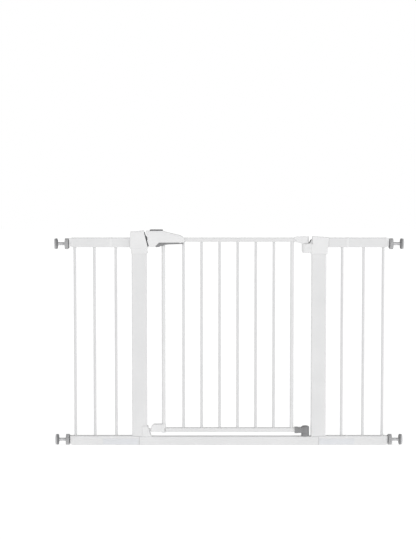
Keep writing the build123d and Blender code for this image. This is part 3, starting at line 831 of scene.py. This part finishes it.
# ---- Screws ----
HEAD_TALL = 1.7 * MM
HEAD_DOME = 0.72             # of the head's radius, the flat on top
SHANK_R = 1.5 * MM
RECESS_TURNS = (20, 110)     # degrees, the two bars of the cross
RECESS_HALF = (0.62, 0.14)   # of the head's radius, along and across each bar
RECESS_SPAN = (0.35, 1.6)    # of the head's height, from the recess's floor to above the head
CAP_SCREW_X = 14 * MM        # from the post's middle to each of its screws
CAP_SHANK_FROM = 8 * MM


def screw_head(name, x, y, z, way, radius):
    """A domed head with a cross recess, whose top looks along Y in the given way."""
    head = cylinder(name, (x, y + way * HEAD_TALL / 2, z), radius, HEAD_TALL, "y", 40)
    edit(head, "FACE", facing((0, way, 0)))
    bpy.ops.transform.resize(value=(HEAD_DOME, 1, HEAD_DOME))
    done()
    round_edges(head, 0.5 * MM, angle=30)
    half_long, half_wide = (share * radius for share in RECESS_HALF)
    floor, top = (y + way * share * HEAD_TALL for share in RECESS_SPAN)
    for turn in RECESS_TURNS:
        cut(head, block("recess", (x - half_long, floor, z - half_wide),
                        (x + half_long, top, z + half_wide), math.radians(turn)))
    return head


def shank(x, start, end, z):
    return cylinder("shank", (x, (start + end) / 2, z), SHANK_R, end - start, "y", 24)


def screws():
    """Cross-head screws behind both caps and the handle, and one in the hinge knuckle."""
    low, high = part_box("cap_screws")
    height = (low[2] + high[2]) / 2
    parts = []
    for post, face in (("latch_post", 14.8 * MM), ("hinge_post", high[1] - 1.6 * MM)):
        middle = middle_of(post).x
        for x in (middle - CAP_SCREW_X, middle + CAP_SCREW_X):
            parts += [screw_head("head", x, face, height, 1, 3.2 * MM),
                      shank(x, CAP_SHANK_FROM, face, height)]
    mount(join("cap_screws_detailed", parts), "frame", "bright_steel", "cap_screws")

    low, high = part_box("handle_screws")
    radius = 3.0 * MM
    face = high[1] - 1.8 * MM
    parts = []
    for x, z in ((high[0] - radius, high[2] - radius), (low[0] + radius, low[2] + radius)):
        parts += [screw_head("head", x, face, z, 1, radius), shank(x, low[1], face, z)]
    mount(join("handle_screws_detailed", parts), "door", "bright_steel", "handle_screws")

    low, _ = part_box("hinge_knuckle")
    screw = screw_head("knuckle_screw", low[0] + 5.8 * MM, low[1] + 0.2 * MM, low[2] + 11.0 * MM,
                       -1, 2.4 * MM)
    mount(screw, "door", "bright_steel")


# ---- Stage ----
CAMERA_DISTANCE = 4.0
CAMERA_X = -0.074
CAMERA_HEIGHT = 0.82
CAMERA_PITCH = 2.8           # degrees below level
VIEW_HEIGHT = 1.901          # metres of the gate's plane that the view takes in
SENSOR = 36.0
BRIGHT_SIDE = (0.45, -0.80, 0.40)        # the surround is brightest this way
SURROUND = (0.76, 1.98)      # its light opposite that way, and that way
CEILING_FROM = 0.05          # how high the surround starts to dim
CEILING_LEVEL = 0.10         # light from straight above, against the light from the walls
FLOOR_SIZE = 240
FLOOR_DROP = 0.0006          # metres below the gate's feet
FLOOR_GLOW = 0.78


def camera():
    data = bpy.data.cameras.new("camera")
    data.sensor_width = SENSOR
    data.lens = SENSOR * CAMERA_DISTANCE / VIEW_HEIGHT
    data.clip_end = 60
    eye = bpy.data.objects.new("camera", data)
    bpy.context.scene.collection.objects.link(eye)
    eye.location = (CAMERA_X, -CAMERA_DISTANCE, CAMERA_HEIGHT)
    eye.rotation_euler = (math.radians(90 - CAMERA_PITCH), 0, 0)
    bpy.context.scene.camera = eye


def soft_light(name, place, target, size, power):
    data = bpy.data.lights.new(name, "AREA")
    data.shape = "SQUARE"
    data.size = size
    data.energy = power
    lamp = bpy.data.objects.new(name, data)
    bpy.context.scene.collection.objects.link(lamp)
    lamp.location = place
    way = Vector(target) - Vector(place)
    lamp.rotation_euler = way.to_track_quat("-Z", "Y").to_euler()


def backdrop(tree):
    """A surround, white to the camera, that lights more from the front right than from above."""
    direction = tree.nodes.new("ShaderNodeTexCoord")
    lean = tree.nodes.new("ShaderNodeVectorMath")
    lean.operation = "DOT_PRODUCT"
    lean.inputs[1].default_value = Vector(BRIGHT_SIDE).normalized()
    level = tree.nodes.new("ShaderNodeMapRange")
    level.inputs["From Min"].default_value = -1.0
    level.inputs["To Min"].default_value, level.inputs["To Max"].default_value = SURROUND
    height = tree.nodes.new("ShaderNodeSeparateXYZ")
    shade = tree.nodes.new("ShaderNodeMapRange")
    shade.inputs["From Min"].default_value = CEILING_FROM
    shade.inputs["To Min"].default_value = 1.0
    shade.inputs["To Max"].default_value = CEILING_LEVEL
    dimmer = tree.nodes.new("ShaderNodeMath")
    dimmer.operation = "MULTIPLY"
    seen = tree.nodes.new("ShaderNodeLightPath")
    pick = tree.nodes.new("ShaderNodeMix")
    pick.inputs["B"].default_value = 1.0
    for source, target in (
            (direction.outputs["Generated"], lean.inputs[0]),
            (lean.outputs["Value"], level.inputs["Value"]),
            (direction.outputs["Generated"], height.inputs["Vector"]),
            (height.outputs["Z"], shade.inputs["Value"]),
            (shade.outputs["Result"], dimmer.inputs[0]),
            (level.outputs["Result"], dimmer.inputs[1]),
            (seen.outputs["Is Camera Ray"], pick.inputs["Factor"]),
            (dimmer.outputs["Value"], pick.inputs["A"]),
            (pick.outputs["Result"], tree.nodes["Background"].inputs["Strength"])):
        tree.links.new(source, target)


def studio():
    scene = bpy.context.scene
    scene.view_settings.view_transform = "Standard"
    world = bpy.data.worlds.new("studio")
    world.use_nodes = True
    world.node_tree.nodes["Background"].inputs["Color"].default_value = (1, 1, 1, 1)
    backdrop(world.node_tree)
    scene.world = world
    soft_light("right fill", place=(3.2, -2.4, 1.4), target=(0, 0, 0.4), size=1.6, power=5)
    bpy.ops.object.select_all(action="DESELECT")
    bpy.ops.mesh.primitive_plane_add(size=FLOOR_SIZE, location=(0, 0, -FLOOR_DROP))
    floor = bpy.context.object
    floor.name = "studio_floor"
    material, tree, surface = shader("pale floor", (0.40, 0.40, 0.40), roughness=0.95)
    drift = object_noise(tree, scale=1.2, detail=2.0)
    tint(tree, surface, drift, (0.395, 0.395, 0.395), (0.405, 0.405, 0.405))
    surface.inputs["Emission Color"].default_value = (1, 1, 1, 1)
    surface.inputs["Emission Strength"].default_value = FLOOR_GLOW
    floor.data.materials.append(material)


camera()
studio()
finish_cad_nodes()
wall_spindles()
rail_collars()
sill_seals()
welds()
labels()
casing_panels()
thumb_ribs()
trigger_ribs()
ramp_shadow_strip()
socket_collar()
arm_plug()
barrel_cap()
screws()
